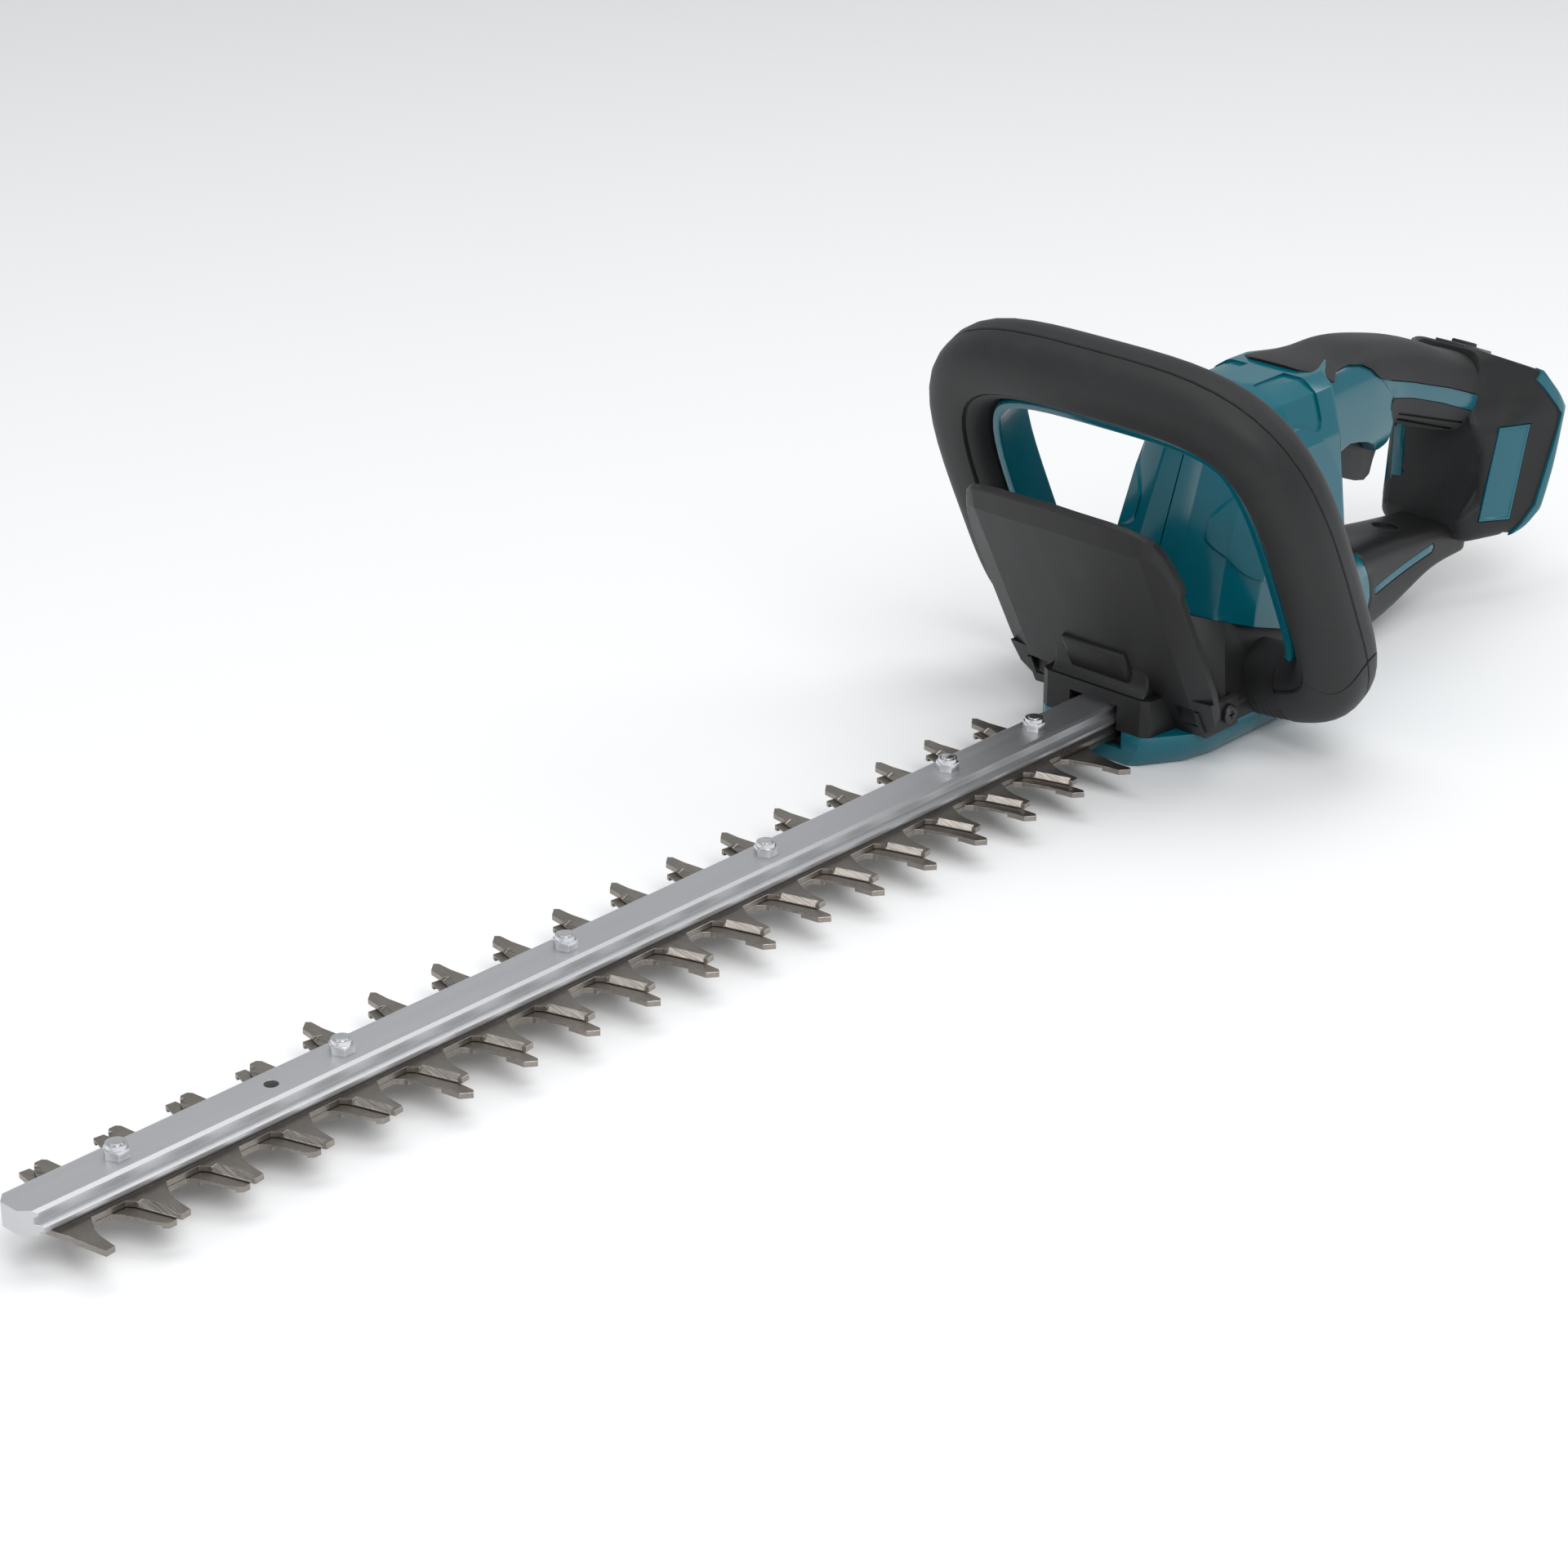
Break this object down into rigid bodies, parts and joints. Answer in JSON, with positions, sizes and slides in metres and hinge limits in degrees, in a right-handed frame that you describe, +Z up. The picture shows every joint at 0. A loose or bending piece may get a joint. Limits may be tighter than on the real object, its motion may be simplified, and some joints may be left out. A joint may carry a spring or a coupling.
{
  "type": "hedge trimmer",
  "caption": "Cordless hedge trimmer with double-sided reciprocating blades on a flat bar, hand guard, loop front handle with switch lever, closed rear handle and battery seat",
  "frame": {"origin": "on the flat underside of the gear case, below the crank axis", "axes": "+X forward along the bar to the blade tip, +Y to the tool's left, +Z up"},
  "size_m": [0.8374, 0.198, 0.1795],
  "materials": {
    "bar_alloy": "satin",
    "blade_steel": "satin",
    "zinc_steel": "bright zinc",
    "machine_steel": "machined",
    "bearing_steel": "polished",
    "cast_case": "cast",
    "dark_steel": "black oxide",
    "teal_shell": "gloss",
    "hard_black": "fine texture",
    "gloss_black": "gloss",
    "soft_black": "soft matt",
    "boot_rubber": "soft matt",
    "felt": "felt",
    "copper_coil": "enamelled",
    "contact_brass": "plated",
    "board": "potted"
  },
  "bodies": {
    "base": {"guide_bar": "bar_alloy", "blade_bolts": "zinc_steel", "blade_washers": "zinc_steel", "blade_sleeves": "machine_steel", "lock_nuts": "zinc_steel", "bar_screws": "zinc_steel", "gear_housing": "cast_case", "bottom_cover": "teal_shell", "cover_screws": "dark_steel", "felt_seal": "felt", "crank_bearings": "bearing_steel", "motor_stator": "machine_steel", "motor_windings": "copper_coil", "motor_bearings": "bearing_steel", "motor_bracket": "cast_case", "upper_cover": "hard_black", "blade_guard": "hard_black", "guard_screws": "dark_steel", "left_housing": "teal_shell", "right_housing": "teal_shell", "housing_screws": "dark_steel", "left_soft_grip": "soft_black", "right_soft_grip": "soft_black", "left_strut_pad": "soft_black", "right_strut_pad": "soft_black", "battery_seat": "hard_black", "battery_rim": "teal_shell", "terminal_block": "contact_brass", "controller_board": "board", "badge_plates": "teal_shell", "trigger_pin": "zinc_steel", "trigger_switch": "hard_black", "button_panel": "gloss_black", "loop_front_shell": "soft_black", "loop_rear_shell": "hard_black", "loop_boots": "boot_rubber", "boot_screws": "zinc_steel", "lever_pins": "zinc_steel", "lever_switch": "hard_black"},
    "rotor": {"motor_rotor": "machine_steel", "pinion": "machine_steel", "cooling_fan": "hard_black"},
    "crank": {"crank_shaft": "machine_steel", "crank_gear": "machine_steel"},
    "upper_cutter": {"upper_blade": "blade_steel", "upper_drive_link": "machine_steel"},
    "lower_cutter": {"lower_blade": "blade_steel", "lower_drive_link": "machine_steel"},
    "finger_trigger": {"trigger": "hard_black"},
    "loop_lever": {"switch_lever": "teal_shell"},
    "start_button": {"power_button": "soft_black"}
  },
  "joints": [
    {"name": "motor_turn", "type": "hinge", "parent": "base", "child": "rotor", "pos_m": [-0.03, 0, 0.02], "axis": [0, 0, 1], "range_deg": [-275, 275]},
    {"name": "crank_turn", "type": "hinge", "parent": "base", "child": "crank", "pos_m": [0, 0, 0.02], "axis": [0, 0, 1], "range_deg": [-68.8, 68.8]},
    {"name": "upper_blade_slide", "type": "slide", "parent": "base", "child": "upper_cutter", "axis": [1, 0, 0], "range_m": [-0.0055, 0.0055]},
    {"name": "lower_blade_slide", "type": "slide", "parent": "base", "child": "lower_cutter", "axis": [1, 0, 0], "range_m": [-0.0055, 0.0055]},
    {"name": "trigger_squeeze", "type": "hinge", "parent": "base", "child": "finger_trigger", "pos_m": [-0.108, 0, 0.104], "axis": [0, 1, 0], "range_deg": [0, 10], "stiffness_Nm_per_rad": 0.6, "springref_deg": -5.73},
    {"name": "lever_press", "type": "hinge", "parent": "base", "child": "loop_lever", "pos_m": [-0.01015, 0, 0.0476], "axis": [0, -1, 0], "range_deg": [0, 2.5], "stiffness_Nm_per_rad": 4, "springref_deg": -2.86},
    {"name": "button_press", "type": "slide", "parent": "base", "child": "start_button", "axis": [0.3584, 0, -0.9336], "range_m": [0, 0.0015], "stiffness_N_per_m": 800, "springref_m": -0.001}
  ],
  "couplings": [
    {"joint": "lower_blade_slide", "follows": "upper_blade_slide", "ratio": -1},
    {"joint": "motor_turn", "follows": "upper_blade_slide", "rad_per_m": 872.66},
    {"joint": "crank_turn", "follows": "upper_blade_slide", "rad_per_m": -218.16}
  ]
}
